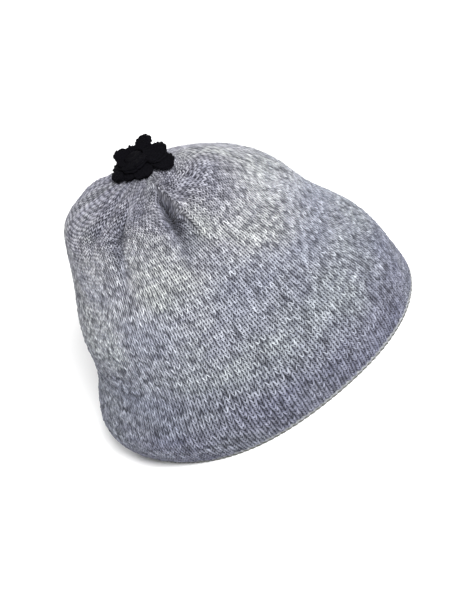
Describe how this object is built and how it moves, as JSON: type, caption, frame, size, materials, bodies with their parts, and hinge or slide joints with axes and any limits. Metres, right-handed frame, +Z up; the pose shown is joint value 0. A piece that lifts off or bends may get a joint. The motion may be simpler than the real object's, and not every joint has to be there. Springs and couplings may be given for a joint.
{
  "type": "knitted beanie",
  "caption": "Knitted stockinette beanie gathered at the crown, with a chain-edged rim and a black crocheted rosette on top; stands open on its rim.",
  "frame": {"origin": "on the surface that the rim rests on, under the middle of the hat's box", "axes": "+Z up through the crown, +X along the long way of the rim towards the side away from the lean of the crown, -Y the front that the picture shows"},
  "size_m": [0.2044, 0.1725, 0.1637],
  "materials": {
    "grey_heather_knit": "heathered hand-knit wool in stockinette, matt and slightly fuzzy",
    "edge_chain_wool": "chain-worked wool edging, matt",
    "black_crochet_wool": "black crocheted wool, matt"
  },
  "bodies": {
    "root": {"knit_body": "grey_heather_knit", "rim_edging": "edge_chain_wool", "rosette_eye": "black_crochet_wool", "lower_petal_1": "black_crochet_wool", "lower_petal_2": "black_crochet_wool", "lower_petal_3": "black_crochet_wool", "lower_petal_4": "black_crochet_wool", "lower_petal_5": "black_crochet_wool", "lower_petal_6": "black_crochet_wool", "lower_petal_7": "black_crochet_wool", "upper_petal_1": "black_crochet_wool", "upper_petal_2": "black_crochet_wool", "upper_petal_3": "black_crochet_wool", "upper_petal_4": "black_crochet_wool", "upper_petal_5": "black_crochet_wool", "upper_petal_6": "black_crochet_wool"}
  },
  "joints": []
}
